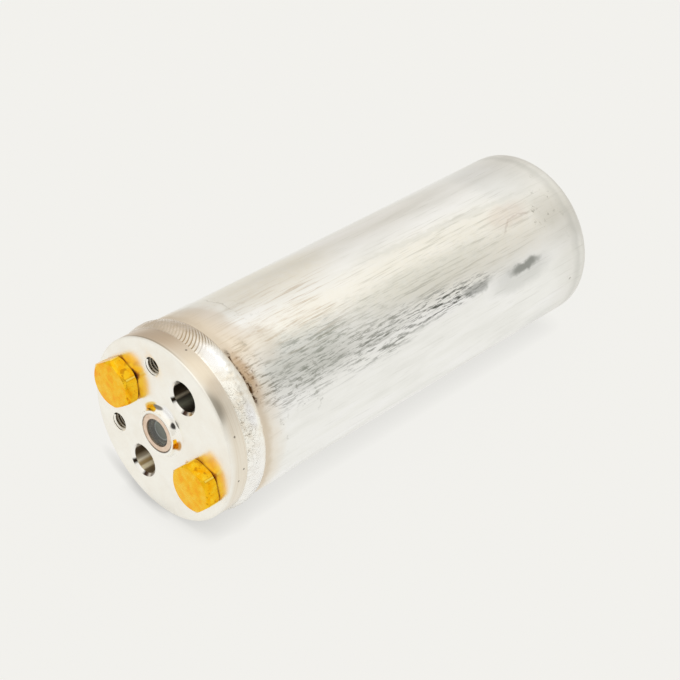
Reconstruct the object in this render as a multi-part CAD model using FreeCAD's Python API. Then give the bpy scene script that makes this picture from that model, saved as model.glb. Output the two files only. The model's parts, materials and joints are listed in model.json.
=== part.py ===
import FreeCAD, Part
import math
import os
from FreeCAD import Vector

# Receiver drier of a car's cooling circuit, in millimetres.
# It stands on the can's flat base at Z = 0 with its axis on Z, and the header's face is on top.
# The two hex plugs lie on the X axis and the two ports on the Y axis.

# Whole vessel
overall_height = 170.4        # can's base to header's face
can_radius = 29.75            # outside of the can's body
can_wall = 2.0
can_base_thickness = 3.0
can_base_corner = 2.5         # outside rounding at the base
can_base_inner_corner = 2.0
mouth_swell = 0.25            # how much the sized mouth is wider than the body, on the radius
mouth_taper = 1.5             # length over which the mouth runs back to the body

# Header, turned from bar
header_thickness = 27.4       # face to the spigot's end
header_edge_chamfer = 0.2
header_spigot_clearance = 0.05
header_end_clearance = 0.1    # spigot's end to the narrowing of the can
spigot_chamfer = 1.0

# Weld between header and can
bead_depth = 6.4              # face to the bead's upper edge
bead_width = 7.5
bead_height = 1.1             # crown above the header's side
root_gap = 0.8                # between the header's bevel and the can's lip

# Pipe ports
port_edge_distance = 11.2     # header's side to the port's middle
port_radius = 4.75
port_depth = 14.0
port_chamfer = 0.95
inlet_drilling_radius = 3.5
outlet_drilling_radius = 2.6

# Threaded holes for the pipe clamps, at the thread's outer radius
clamp_hole_x = 13.6           # from the port, along X
clamp_hole_inset = 2.4        # nearer to the axis than the port, along Y
clamp_hole_radius = 3.0
clamp_hole_depth = 14.0
clamp_hole_chamfer = 0.25
drill_point_angle = 118.0

# Hex plugs
plug_edge_distance = 10.1     # header's side to the plug's middle
plug_across_flats = 14.4
plug_head_height = 4.9
plug_head_chamfer = 0.9       # height taken off the corners at the top
plug_head_under_chamfer = 0.8
plug_thread_radius = 5.0
plug_thread_length = 9.0
plug_thread_clearance = 0.05
plug_hole_runout = 2.0        # hole beyond the plug's end
plug_drilling_radius = 1.5
plug_end_chamfer = 0.8
plug_seal_section = 1.5       # thickness of the O-ring's cord
switch_plug_turn = 4.0        # from X to a corner of the head
service_plug_turn = 14.0

# Sight glass
boss_land = 0.95              # flat round the ring at the boss's top
boss_flank = 2.2              # width of the hollow flank round the land
boss_height = 2.05
sight_ring_wall = 1.75        # glass to the ring's outside
sight_ring_height = 6.0
sight_ring_drop = 0.1         # ring's top below the boss
sight_ring_chamfer = 0.25
sight_glass_radius = 4.6
sight_glass_thickness = 3.7
sight_glass_drop = 0.4        # glass below the ring's top
sight_glass_bevel = 0.3
sight_seal_section = 1.2

# Pickup tube and its strainer
tube_radius = 4.0
tube_wall = 0.9
tube_socket_clearance = 0.05
tube_socket_depth = 9.0       # length of tube held in the header
tube_seal_section = 1.3
tube_seal_depth = 4.0         # header's lower face to the middle of the O-ring
tube_end_stick = 0.5          # tube's lower end below the strainer's collar
strainer_wall = 0.4
strainer_swell = 2.0          # thimble wider than the tube, on the radius
strainer_collar_length = 3.0
strainer_floor_gap = 1.5
strainer_plate_gap = 1.5      # strainer's top to the lower plate
strainer_hole_radius = 0.7
strainer_hole_count = 8
strainer_row_pitch = 2.2

# Cartridge round the tube: plates, pads and desiccant
bore_gap = 0.3                # between the can's bore and what lies in it
tube_gap = 0.3                # between the tube and what slides on it
plate_thickness = 1.0
plate_stand_height = 12.0     # sump under the lower plate
plate_rim_width = 4.0         # rim outside the skirt
plate_hole_radius = 1.5
plate_hole_margin = 4.7       # plate's bore to the middle of the first ring of holes
plate_ring_pitch = 5.0
plate_hole_pitch = 6.5        # along a ring
pad_thickness = 8.0

# Spring that holds the bed together
spring_radius = 12.0          # to the middle of the wire
spring_wire_radius = 1.0
spring_turns = 4.5
spring_length = 32.0          # as fitted

# Worked out from the sizes above
face_z = overall_height
mouth_radius = can_radius + mouth_swell
port_offset = mouth_radius - port_edge_distance
plug_offset = mouth_radius - plug_edge_distance
clamp_hole_y = port_offset - clamp_hole_inset
can_bore = can_radius - can_wall
mouth_bore = can_bore + mouth_swell
spigot_radius = mouth_bore - header_spigot_clearance
header_low_z = face_z - header_thickness
narrowing_z = header_low_z - header_end_clearance
bead_top_z = face_z - bead_depth
bead_low_z = bead_top_z - bead_width
root_middle_z = (bead_top_z + bead_low_z) / 2
root_top_z = root_middle_z + root_gap / 2
root_low_z = root_middle_z - root_gap / 2
sight_ring_radius = sight_glass_radius + sight_ring_wall
boss_top_radius = sight_ring_radius + boss_land
boss_foot_radius = boss_top_radius + boss_flank
boss_top_z = face_z + boss_height
ring_top_z = boss_top_z - sight_ring_drop
ring_low_z = ring_top_z - sight_ring_height
glass_top_z = ring_top_z - sight_glass_drop
glass_low_z = glass_top_z - sight_glass_thickness
sight_seal_z = ring_low_z + sight_seal_section
sight_well_radius = tube_radius - tube_wall
plug_hole_depth = plug_thread_length + plug_hole_runout
plug_hole_radius = plug_thread_radius + plug_thread_clearance
plug_seal_radius = plug_hole_radius + plug_seal_section / 2
socket_radius = tube_radius + tube_socket_clearance
tube_top_z = header_low_z + tube_socket_depth
tube_seal_z = header_low_z + tube_seal_depth
tube_seal_radius = tube_radius + tube_seal_section / 2
plate_outer = can_bore - bore_gap
plate_inner = tube_radius + tube_gap
plate_skirt_radius = plate_outer - plate_rim_width
lower_plate_z = can_base_thickness + plate_stand_height
strainer_radius = tube_radius + strainer_swell
strainer_low_z = can_base_thickness + strainer_floor_gap
strainer_top_z = lower_plate_z - strainer_plate_gap
collar_z = strainer_top_z - strainer_collar_length
tube_low_z = collar_z - tube_end_stick
lower_pad_z = lower_plate_z + plate_thickness
bed_z = lower_pad_z + pad_thickness
spring_low_z = header_low_z - spring_length
upper_plate_z = spring_low_z - plate_thickness
upper_pad_z = upper_plate_z - pad_thickness


def cylinder(radius, low_z, high_z, x=0.0, y=0.0):
    return Part.makeCylinder(radius, high_z - low_z, Vector(x, y, low_z))


def cone(low_radius, high_radius, low_z, high_z, x=0.0, y=0.0):
    return Part.makeCone(low_radius, high_radius, high_z - low_z, Vector(x, y, low_z))


def tube(inner_radius, outer_radius, low_z, high_z):
    return cylinder(outer_radius, low_z, high_z).cut(cylinder(inner_radius, low_z, high_z))


def o_ring(middle_radius, section, z, x=0.0, y=0.0):
    return Part.makeTorus(middle_radius, section / 2, Vector(x, y, z))


def line(start, end):
    return Part.LineSegment(Vector(start[0], 0, start[1]), Vector(end[0], 0, end[1])).toShape()


def arc(start, middle, end):
    points = [Vector(p[0], 0, p[1]) for p in (start, middle, end)]
    return Part.Arc(*points).toShape()


def turned(edges):
    """Solid of revolution about Z from a closed run of edges in the XZ plane."""
    face = Part.Face(Part.Wire(edges))
    return face.revolve(Vector(0, 0, 0), Vector(0, 0, 1), 360)


def turned_outline(points):
    edges = [line(a, b) for a, b in zip(points, points[1:] + points[:1])]
    return turned(edges)


def rounded_corner(centre, radius, start_angle, end_angle):
    """Arc edge in the XZ plane about a centre, with its two end points."""
    ends = []
    for angle in (start_angle, (start_angle + end_angle) / 2, end_angle):
        a = math.radians(angle)
        ends.append((centre[0] + radius * math.cos(a), centre[1] + radius * math.sin(a)))
    return arc(*ends), ends[0], ends[2]


def can():
    """Drawn cup: flat base, straight wall, sized mouth with a bevelled lip for the weld."""
    outer, outer_low, outer_high = rounded_corner(
        (can_radius - can_base_corner, can_base_corner), can_base_corner, -90, 0)
    inner, inner_high, inner_low = rounded_corner(
        (can_bore - can_base_inner_corner, can_base_thickness + can_base_inner_corner),
        can_base_inner_corner, 0, -90)
    outline = [
        line((0, 0), outer_low),
        outer,
        line(outer_high, (can_radius, narrowing_z - mouth_taper)),
        line((can_radius, narrowing_z - mouth_taper), (mouth_radius, narrowing_z)),
        line((mouth_radius, narrowing_z), (mouth_radius, bead_low_z)),
        line((mouth_radius, bead_low_z), (mouth_bore, root_low_z)),
        line((mouth_bore, root_low_z), (mouth_bore, narrowing_z)),
        line((mouth_bore, narrowing_z), (can_bore, narrowing_z - mouth_taper)),
        line((can_bore, narrowing_z - mouth_taper), inner_high),
        inner,
        line(inner_low, (0, can_base_thickness)),
        line((0, can_base_thickness), (0, 0)),
    ]
    return turned(outline)


def header_blank():
    """Turned blank: face with the sight glass boss, flange, weld bevel and spigot."""
    sweep = 2 * math.atan2(boss_height, boss_flank)
    cove_radius = math.hypot(boss_height, boss_flank) / (2 * math.sin(sweep / 2))
    cove_middle = (boss_foot_radius - cove_radius * math.sin(sweep / 2),
                   face_z + cove_radius * (1 - math.cos(sweep / 2)))
    edge = header_edge_chamfer
    outline = [
        line((0, header_low_z), (0, boss_top_z)),
        line((0, boss_top_z), (boss_top_radius, boss_top_z)),
        arc((boss_top_radius, boss_top_z), cove_middle, (boss_foot_radius, face_z)),
        line((boss_foot_radius, face_z), (mouth_radius - edge, face_z)),
        line((mouth_radius - edge, face_z), (mouth_radius, face_z - edge)),
        line((mouth_radius, face_z - edge), (mouth_radius, bead_top_z)),
        line((mouth_radius, bead_top_z), (spigot_radius, root_top_z)),
        line((spigot_radius, root_top_z), (spigot_radius, header_low_z + spigot_chamfer)),
        line((spigot_radius, header_low_z + spigot_chamfer),
             (spigot_radius - spigot_chamfer, header_low_z)),
        line((spigot_radius - spigot_chamfer, header_low_z), (0, header_low_z)),
    ]
    return turned(outline)


def port_cut(y):
    low_z = face_z - port_depth
    bore = cylinder(port_radius, low_z, face_z, 0, y)
    mouth = cone(port_radius, port_radius + port_chamfer, face_z - port_chamfer, face_z, 0, y)
    return bore.fuse(mouth)


def inlet_drilling():
    """Straight down from the inlet port into the space over the filter."""
    return cylinder(inlet_drilling_radius, header_low_z, face_z - port_depth, 0, -port_offset)


def outlet_drilling():
    """Slanted from the floor of the outlet port to the well under the sight glass."""
    start = Vector(0, port_offset, face_z - port_depth + outlet_drilling_radius)
    end = Vector(0, 0, tube_top_z + outlet_drilling_radius)
    run = end.sub(start)
    return Part.makeCylinder(outlet_drilling_radius, run.Length, start, run)


def clamp_hole_cut(y):
    radius = clamp_hole_radius
    low_z = face_z - clamp_hole_depth
    point = radius / math.tan(math.radians(drill_point_angle / 2))
    hole = cylinder(radius, low_z, face_z, clamp_hole_x, y)
    tip = cone(0, radius, low_z - point, low_z, clamp_hole_x, y)
    mouth = cone(radius, radius + clamp_hole_chamfer, face_z - clamp_hole_chamfer, face_z,
                 clamp_hole_x, y)
    return hole.fuse([tip, mouth])


def plug_hole_cut(x):
    hole = cylinder(plug_hole_radius, face_z - plug_hole_depth, face_z, x)
    seal_seat = cylinder(plug_seal_radius + plug_seal_section / 2, face_z - plug_seal_section,
                         face_z, x)
    drilling = cylinder(plug_drilling_radius, header_low_z, face_z - plug_hole_depth, x)
    return hole.fuse([seal_seat, drilling])


def sight_and_tube_cut():
    seat = cylinder(sight_ring_radius, ring_low_z, boss_top_z)
    well = cylinder(sight_well_radius, tube_top_z, ring_low_z)
    socket = cylinder(socket_radius, header_low_z, tube_top_z)
    half = tube_seal_section / 2
    groove = cylinder(tube_seal_radius + half, tube_seal_z - half, tube_seal_z + half)
    return seat.fuse([well, socket, groove])


def header():
    cuts = [port_cut(port_offset), port_cut(-port_offset), inlet_drilling(), outlet_drilling(),
            clamp_hole_cut(clamp_hole_y), clamp_hole_cut(-clamp_hole_y),
            plug_hole_cut(plug_offset), plug_hole_cut(-plug_offset), sight_and_tube_cut()]
    return header_blank().cut(cuts).removeSplitter()


def weld_bead():
    """Filler in the groove, with a crown that stands proud of the header and the can."""
    crown = (mouth_radius + bead_height, root_middle_z)
    outline = [
        line((mouth_radius, bead_top_z), (spigot_radius, root_top_z)),
        line((spigot_radius, root_top_z), (spigot_radius, root_low_z)),
        line((spigot_radius, root_low_z), (mouth_bore, root_low_z)),
        line((mouth_bore, root_low_z), (mouth_radius, bead_low_z)),
        arc((mouth_radius, bead_low_z), crown, (mouth_radius, bead_top_z)),
    ]
    return turned(outline)


def hex_head(x, turn):
    """Hexagon with its corners taken off by a cone above and, less, below."""
    corner = plug_across_flats / math.sqrt(3)
    corners = []
    for step in range(7):
        a = math.radians(turn + 60 * step)
        corners.append(Vector(x + corner * math.cos(a), corner * math.sin(a), face_z))
    prism = Part.Face(Part.makePolygon(corners)).extrude(Vector(0, 0, plug_head_height))
    flat = plug_across_flats / 2
    reach = corner - flat
    top_z = face_z + plug_head_height
    lower = cone(flat, flat + 2 * reach, face_z, face_z + 2 * plug_head_under_chamfer, x)
    middle = cylinder(flat + 2 * reach, face_z + 2 * plug_head_under_chamfer,
                      top_z - 2 * plug_head_chamfer, x)
    upper = cone(flat + 2 * reach, flat, top_z - 2 * plug_head_chamfer, top_z, x)
    envelope = lower.fuse([middle, upper])
    return prism.common(envelope)


def hex_plug(x, turn):
    end_z = face_z - plug_thread_length
    shank = cylinder(plug_thread_radius, end_z + plug_end_chamfer, face_z, x)
    point = cone(plug_thread_radius - plug_end_chamfer, plug_thread_radius, end_z,
                 end_z + plug_end_chamfer, x)
    return hex_head(x, turn).fuse([shank, point]).removeSplitter()


def plug_seal(x):
    return o_ring(plug_seal_radius, plug_seal_section, face_z - plug_seal_section / 2, x)


def sight_ring():
    """Steel ring that carries the glass, with a groove for its O-ring."""
    bevel = sight_ring_chamfer
    half = sight_seal_section / 2
    groove_radius = sight_ring_radius - sight_seal_section
    return turned_outline([
        (sight_glass_radius, ring_low_z),
        (sight_ring_radius, ring_low_z),
        (sight_ring_radius, sight_seal_z - half),
        (groove_radius, sight_seal_z - half),
        (groove_radius, sight_seal_z + half),
        (sight_ring_radius, sight_seal_z + half),
        (sight_ring_radius, ring_top_z - bevel),
        (sight_ring_radius - bevel, ring_top_z),
        (sight_glass_radius, ring_top_z),
    ])


def sight_seal():
    return o_ring(sight_ring_radius - sight_seal_section / 2, sight_seal_section, sight_seal_z)


def sight_glass():
    radius = sight_glass_radius
    bevel = sight_glass_bevel
    return turned_outline([
        (0, glass_low_z),
        (radius - bevel, glass_low_z),
        (radius, glass_low_z + bevel),
        (radius, glass_top_z),
        (0, glass_top_z),
    ])


def pickup_tube():
    return tube(tube_radius - tube_wall, tube_radius, tube_low_z, tube_top_z)


def pickup_tube_seal():
    return o_ring(tube_seal_radius, tube_seal_section, tube_seal_z)


def pickup_strainer():
    """Perforated thimble pushed over the tube's lower end."""
    low_z = strainer_low_z
    top_z = strainer_top_z
    step_z = collar_z - (strainer_radius - tube_radius - strainer_wall)
    outer_collar = tube_radius + strainer_wall
    wall = strainer_wall
    thimble = turned_outline([
        (0, low_z),
        (strainer_radius, low_z),
        (strainer_radius, step_z),
        (outer_collar, collar_z),
        (outer_collar, top_z),
        (tube_radius, top_z),
        (tube_radius, collar_z),
        (strainer_radius - wall, step_z),
        (strainer_radius - wall, low_z + wall),
        (0, low_z + wall),
    ])
    holes = []
    rows = max(1, int((step_z - low_z - wall) / strainer_row_pitch))
    for row in range(rows):
        z = low_z + wall + strainer_row_pitch * (row + 0.5)
        for step in range(strainer_hole_count):
            a = 2 * math.pi * (step + 0.5 * row) / strainer_hole_count
            way = Vector(math.cos(a), math.sin(a), 0)
            start = Vector(0, 0, z) + way * (strainer_radius - 2 * wall)
            holes.append(Part.makeCylinder(strainer_hole_radius, 3 * wall, start, way))
    return thimble.cut(holes)


def plate_holes(low_z):
    holes = []
    ring_radius = plate_inner + plate_hole_margin
    last_radius = plate_skirt_radius - plate_thickness - 2 * plate_hole_radius
    while ring_radius <= last_radius:
        count = int(2 * math.pi * ring_radius / plate_hole_pitch)
        for step in range(count):
            a = 2 * math.pi * step / count
            holes.append(cylinder(plate_hole_radius, low_z, low_z + plate_thickness,
                                  ring_radius * math.cos(a), ring_radius * math.sin(a)))
        ring_radius += plate_ring_pitch
    return holes


def lower_plate():
    """Perforated plate on a skirt that stands on the can's floor, over the sump."""
    plate = tube(plate_inner, plate_outer, lower_plate_z, lower_plate_z + plate_thickness)
    skirt = tube(plate_skirt_radius - plate_thickness, plate_skirt_radius, can_base_thickness,
                 lower_plate_z)
    return plate.fuse(skirt).removeSplitter().cut(plate_holes(lower_plate_z))


def upper_plate():
    plate = tube(plate_inner, plate_outer, upper_plate_z, upper_plate_z + plate_thickness)
    return plate.cut(plate_holes(upper_plate_z))


def filter_pad(low_z):
    return tube(plate_inner, plate_outer, low_z, low_z + pad_thickness)


def desiccant_bed():
    return tube(plate_inner, plate_outer, bed_z, upper_pad_z)


def bed_spring():
    """Round wire wound on a helix, its ends ground flat against the plate and the header."""
    pitch = spring_length / spring_turns
    path = Part.makeHelix(pitch, spring_length, spring_radius)
    profile = Part.Wire(Part.makeCircle(spring_wire_radius, Vector(spring_radius, 0, 0),
                                        Vector(0, spring_radius, pitch / (2 * math.pi))))
    wire = Part.Wire(path).makePipeShell([profile], True, True)
    wire.translate(Vector(0, 0, spring_low_z))
    room = tube(spring_radius - 2 * spring_wire_radius, spring_radius + 2 * spring_wire_radius,
                spring_low_z, header_low_z)
    return wire.common(room)


pieces = {
    "can": can(),
    "header": header(),
    "weld_bead": weld_bead(),
    "switch_port_plug": hex_plug(plug_offset, switch_plug_turn),
    "service_port_plug": hex_plug(-plug_offset, service_plug_turn),
    "switch_plug_seal": plug_seal(plug_offset),
    "service_plug_seal": plug_seal(-plug_offset),
    "sight_glass": sight_glass(),
    "sight_glass_ring": sight_ring(),
    "sight_glass_seal": sight_seal(),
    "pickup_tube": pickup_tube(),
    "pickup_tube_seal": pickup_tube_seal(),
    "pickup_strainer": pickup_strainer(),
    "lower_plate": lower_plate(),
    "lower_filter_pad": filter_pad(lower_pad_z),
    "desiccant_bed": desiccant_bed(),
    "upper_filter_pad": filter_pad(upper_pad_z),
    "upper_plate": upper_plate(),
    "bed_spring": bed_spring(),
}

os.makedirs("parts", exist_ok=True)
for name, shape in pieces.items():
    shape.exportStep("parts/" + name + ".step")
    print(name, len(shape.Solids), shape.isValid(), round(shape.Volume, 1))
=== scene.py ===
import json
import math
import bpy
from mathutils import Matrix, Vector, noise


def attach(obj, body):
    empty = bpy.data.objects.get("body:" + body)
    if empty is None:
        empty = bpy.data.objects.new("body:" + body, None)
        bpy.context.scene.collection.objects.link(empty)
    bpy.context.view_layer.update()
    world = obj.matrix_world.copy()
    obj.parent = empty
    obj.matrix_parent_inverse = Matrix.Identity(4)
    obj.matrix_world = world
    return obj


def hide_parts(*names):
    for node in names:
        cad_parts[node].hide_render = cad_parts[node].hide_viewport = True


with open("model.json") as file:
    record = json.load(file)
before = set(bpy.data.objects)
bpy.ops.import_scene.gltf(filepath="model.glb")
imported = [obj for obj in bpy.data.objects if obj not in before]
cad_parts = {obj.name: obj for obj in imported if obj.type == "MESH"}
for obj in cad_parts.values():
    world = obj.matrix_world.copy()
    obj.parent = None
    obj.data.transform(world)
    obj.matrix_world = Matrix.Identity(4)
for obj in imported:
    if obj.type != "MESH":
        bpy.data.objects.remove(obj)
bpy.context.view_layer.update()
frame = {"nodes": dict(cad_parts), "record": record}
bpy.context.scene.view_settings.view_transform = "Standard"

mm = 0.001

# Heights above the can's base and radii of the whole vessel, in millimetres
vessel = {
    "face": 170.4, "headerLow": 143.0, "headerRadius": 30.0, "canRadius": 29.75,
    "beadTop": 164.0, "beadLow": 156.5, "beadRadius": 31.1,
    "rootGap": 0.8,               # between can and header, filled by the weld
}
faceZ = vessel["face"] * mm

# Angles round the vessel are counted from the camera's side, anticlockwise from above, and depths
# down from the header's face, because the marks were read from the photograph that way
cameraSide = -106.0


def toLinear(hexColour):
    channels = []
    for start in (0, 2, 4):
        value = int(hexColour[start:start + 2], 16) / 255
        channels.append(value / 12.92 if value <= 0.04045 else ((value + 0.055) / 1.055) ** 2.4)
    return (*channels, 1.0)


def addNode(tree, kind, inputs=None, stops=None, **settings):
    # a node given as an input stands for its first output
    node = tree.nodes.new("ShaderNode" + kind)
    for name, value in settings.items():
        setattr(node, name, value)
    for name, value in (inputs or {}).items():
        if isinstance(value, bpy.types.Node):
            value = value.outputs[0]
        if isinstance(value, bpy.types.NodeSocket):
            tree.links.new(value, node.inputs[name])
        else:
            node.inputs[name].default_value = value
    for index, (position, colour) in enumerate(stops or []):
        ramp = node.color_ramp.elements
        stop = ramp[index] if index < 2 else ramp.new(position)
        stop.position = position
        stop.color = toLinear(colour)
    return node


def startMaterial(name):
    material = bpy.data.materials.new(name)
    material.use_nodes = True
    tree = material.node_tree
    tree.nodes.clear()
    return material, tree


def endMaterial(tree, colour, metallic, roughness, height, strength, distance, under=None):
    # relief, shader and output; the relief can lie on a finer one under it
    relief = {"Strength": strength, "Distance": distance * mm, "Height": height}
    if under is not None:
        relief["Normal"] = under
    bump = addNode(tree, "Bump", relief)
    shader = addNode(tree, "BsdfPrincipled", {
        "Base Color": colour, "Metallic": metallic, "Roughness": roughness, "Normal": bump})
    addNode(tree, "OutputMaterial", {"Surface": shader})


def onWall(angle, depth, radius):
    turn = math.radians(angle + cameraSide)
    return Vector((radius * math.cos(turn), radius * math.sin(turn), vessel["face"] - depth)) * mm


def spotMask(tree, coords, angle, depth, radius, width, length, soft, slant=0.0):
    # spot on a round wall: 1 in the middle, 0 at its edge; width runs round the wall, length along.
    # It reaches 25 mm through the wall, so that the wall's own curve doesn't cut it off.
    place = addNode(tree, "Mapping", {
        "Vector": coords, "Location": onWall(angle, depth, radius),
        "Rotation": (math.radians(slant), 0, math.radians(angle + cameraSide)),
        "Scale": (25 * mm, width * mm / 2, length * mm / 2)}, vector_type="TEXTURE")
    ball = addNode(tree, "TexGradient", {"Vector": place}, gradient_type="SPHERICAL")
    return addNode(tree, "MapRange", {"Value": ball.outputs["Fac"], "From Max": soft},
                   interpolation_type="SMOOTHSTEP")


def overlap(tree, mask, *others):
    # where all of these masks meet
    for other in others:
        mask = addNode(tree, "Math", {0: mask, 1: other}, operation="MULTIPLY")
    return mask


def tint(tree, below, mask, above, strength=1.0, blend="MIX"):
    # lays a colour or a pattern over another where the mask says so
    amount = addNode(tree, "Math", {0: mask, 1: strength}, operation="MULTIPLY", use_clamp=True)
    if isinstance(above, str):
        above = toLinear(above)
    mix = addNode(tree, "Mix", {0: amount, 6: below, 7: above}, data_type="RGBA", blend_type=blend)
    return mix.outputs[2]


def paintSpots(tree, colour, coords, radius, soft, spots, *patterns):
    # spots on a round wall, one over another, broken up by patterns. Each has its angle, depth,
    # width round the wall, length along it, strength and colour, and a slant if it lies askew.
    for angle, depth, width, length, strength, shade, *slant in spots:
        mask = spotMask(tree, coords, angle, depth, radius, width, length, soft, *slant)
        colour = tint(tree, colour, overlap(tree, mask, *patterns), shade, strength)
    return colour


# Camera, found by fitting the vessel's outline to the photograph
shot = {
    "distance": 506.8,            # mm, lens to the point that was fitted on the axis
    "aimHeight": 171.0,           # that point's height
    "offAxis": 58.78,             # degrees between the view and the vessel's axis
    "azimuth": -16.0,
    "roll": -118.906,
    "aimPixel": (160.32, 431.09),
    "pictureSize": 680,
    "focalPixels": 1698.65,
}


def addCamera():
    tilt = math.radians(shot["offAxis"])
    turn = math.radians(shot["azimuth"])
    outward = math.sin(tilt)
    away = Vector((outward * math.sin(turn), -outward * math.cos(turn), math.cos(tilt)))
    ahead = -away
    right = ahead.cross(Vector((0, 0, 1))).normalized()
    down = ahead.cross(right)
    half = shot["pictureSize"] / 2
    ray = Vector(((shot["aimPixel"][0] - half) / shot["focalPixels"],
                  (shot["aimPixel"][1] - half) / shot["focalPixels"], 1)).normalized()
    pan = Vector((0, 0, 1)).rotation_difference(ray).to_matrix()
    roll = Matrix.Rotation(math.radians(shot["roll"]), 3, "Z")
    right, down, ahead = pan @ roll @ Matrix((right, down, ahead))
    data = bpy.data.cameras.new("photoCamera")
    data.sensor_width = 36
    data.lens = shot["focalPixels"] / shot["pictureSize"] * 36
    data.clip_start = 0.01
    camera = bpy.data.objects.new("photoCamera", data)
    bpy.context.scene.collection.objects.link(camera)
    turned = Matrix((right, -down, -ahead)).transposed().to_4x4()
    place = away * shot["distance"] + Vector((0, 0, shot["aimHeight"]))
    camera.matrix_world = Matrix.Translation(place * mm) @ turned
    bpy.context.scene.camera = camera


addCamera()
print("camera placed")

# Floor and light. The vessel lies on its side in the photograph, so the pale floor there is a plane
# along the vessel, and "up" is the direction across it.
studio = {
    "upAngle": 48.2,              # direction of up, counted from the camera's side
    "floorRadius": 1.6,           # m
    "boardGlow": 0.945,           # lit from behind as a light table is, so shadows stay faint
    "boardColour": "F3F2EE",
    "boardShare": 0.05,           # how much of the light that falls on it comes back
    "shadowReach": 8.0,           # mm, how far the contact shadow spreads
    "shadowDepth": 0.17,          # under the can
    "headerShadowDepth": 0.30,    # under the header, which touches the floor
    "shadowFrom": 135.0,          # mm, height where it starts to deepen towards the header
    "shadowAhead": (-1.0, 2.5, 0.35),    # mm from the face where it fades, and the share left
    # short shadow that the header throws along its left edge: place across and height in mm, tilt,
    # half length, half depth and half width in mm, darkness
    "thrownShadow": (20, 166.2, 14.5, (24, 25, 3.4), 0.33),
    "skyLow": 0.78,               # brightness near the horizon
    "skyHigh": 1.00,              # and overhead
    "skyTint": "FFFDF8",
    # soft dark parts that the metal mirrors: angle, lift, cosine at edge and core, strength, colour
    "darkParts": ((-9, 0.50, 0.955, 0.998, 0.36, "6E5C40"),
                  (122, 0.45, 0.74, 0.97, 0.13, "8A6E50")),
    "pictureGround": "F3F2ED",
    "keyWay": (40, 0.45), "keyDistance": 1.0, "keySize": 0.6, "keyPower": 0.2,
}
upTurn = math.radians(studio["upAngle"] + cameraSide)
upward = Vector((math.cos(upTurn), math.sin(upTurn), 0))


def wayOut(angle, lift):
    # direction as the can mirrors it: angle round the vessel, tilted towards the base by lift
    turn = math.radians(angle + cameraSide)
    flat = math.sqrt(1 - lift ** 2)
    return Vector((flat * math.cos(turn), flat * math.sin(turn), -lift))


def lightTable():
    # white acrylic board lit from below; clear from behind, so that it hides nothing
    material, tree = startMaterial("backlitWhiteAcrylic")
    boardColour = toLinear(studio["boardColour"])
    board = addNode(tree, "BsdfDiffuse", {
        "Color": [studio["boardShare"] * channel for channel in boardColour[:3]] + [1]})
    near = addNode(tree, "AmbientOcclusion", {"Distance": studio["shadowReach"] * mm}, samples=8)
    spot = addNode(tree, "NewGeometry").outputs["Position"]
    height = addNode(tree, "SeparateXYZ", {"Vector": spot}).outputs["Z"]
    depth = addNode(tree, "MapRange", {
        "Value": height, "From Min": studio["shadowFrom"] * mm, "From Max": faceZ,
        "To Min": studio["shadowDepth"], "To Max": studio["headerShadowDepth"]})
    first, last, share = studio["shadowAhead"]
    ahead = addNode(tree, "MapRange", {
        "Value": height, "From Min": faceZ + first * mm, "From Max": faceZ + last * mm,
        "To Min": 1.0, "To Max": share})
    covered = addNode(tree, "Math", {0: 1.0, 1: near.outputs["AO"]}, operation="SUBTRACT")
    glow = addNode(tree, "Math", {0: overlap(tree, covered, depth, ahead), 1: -studio["boardGlow"],
                                  2: studio["boardGlow"]}, operation="MULTIPLY_ADD")
    across, lift, tilt, size, darkness = studio["thrownShadow"]
    sideways = upTurn + math.pi / 2
    centre = -upward * vessel["beadRadius"] + Vector((
        math.cos(sideways) * across, math.sin(sideways) * across, lift))
    thrown = addNode(tree, "Mapping", {
        "Vector": spot, "Location": centre * mm, "Rotation": (0, math.radians(tilt), sideways),
        "Scale": [extent * mm for extent in size]}, vector_type="TEXTURE")
    thrown = addNode(tree, "TexGradient", {"Vector": thrown}, gradient_type="SPHERICAL")
    thrown = addNode(tree, "Math", {
        0: thrown.outputs["Fac"], 1: -darkness, 2: 1.0}, operation="MULTIPLY_ADD")
    shine = addNode(tree, "Emission", {
        "Color": boardColour, "Strength": overlap(tree, glow, thrown)})
    both = addNode(tree, "AddShader", {0: board, 1: shine})
    clear = addNode(tree, "BsdfTransparent")
    back = addNode(tree, "NewGeometry").outputs["Backfacing"]
    mix = addNode(tree, "MixShader", {0: back, 1: both, 2: clear})
    addNode(tree, "OutputMaterial", {"Surface": mix})
    return material


def addFloor():
    bpy.ops.object.select_all(action="DESELECT")
    touch = vessel["beadRadius"] * mm
    bpy.ops.mesh.primitive_circle_add(vertices=96, radius=studio["floorRadius"], fill_type="NGON",
                                      location=-upward * touch + Vector((0, 0, faceZ / 2)),
                                      rotation=upward.to_track_quat("Z", "Y").to_euler())
    floor = bpy.context.object
    floor.name = "paleFloor"
    floor.data.materials.append(lightTable())


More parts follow.
